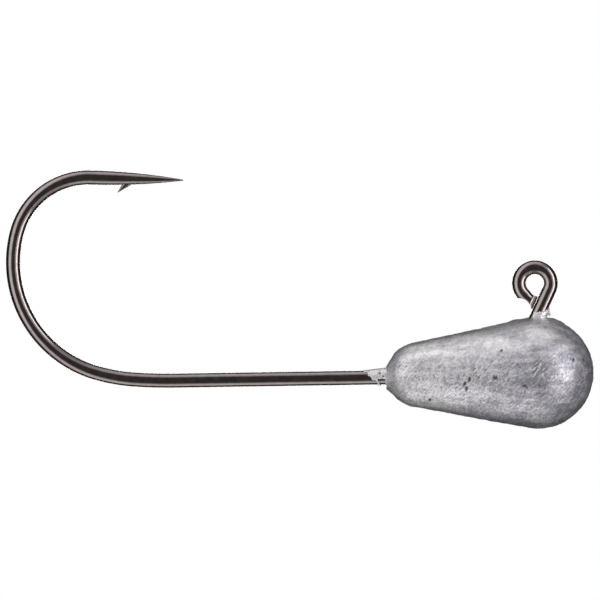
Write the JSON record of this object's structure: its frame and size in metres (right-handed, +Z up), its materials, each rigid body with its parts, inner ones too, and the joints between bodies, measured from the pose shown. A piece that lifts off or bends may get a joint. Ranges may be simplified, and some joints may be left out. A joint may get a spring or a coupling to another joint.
{
  "type": "jig head",
  "caption": "Teardrop lead weight cast round a black wire jig hook, with an open line eye on top, a round bend and an upturned barbed point.",
  "frame": {"origin": "centre of the line eye, in the plane of the hook wire", "axes": "+X along the shank towards the round nose of the lead, +Y along the line eye's axis, +Z up, towards the hook's point and the eye"},
  "size_m": [0.0539, 0.0102, 0.0244],
  "materials": {
    "hook_wire": "polished black nickel plating on hardened high-carbon steel wire",
    "cast_lead": "bare cast lead, satin, mottled and lightly oxidised"
  },
  "bodies": {
    "root": {"hook": "hook_wire", "lead_head": "cast_lead"}
  },
  "joints": []
}
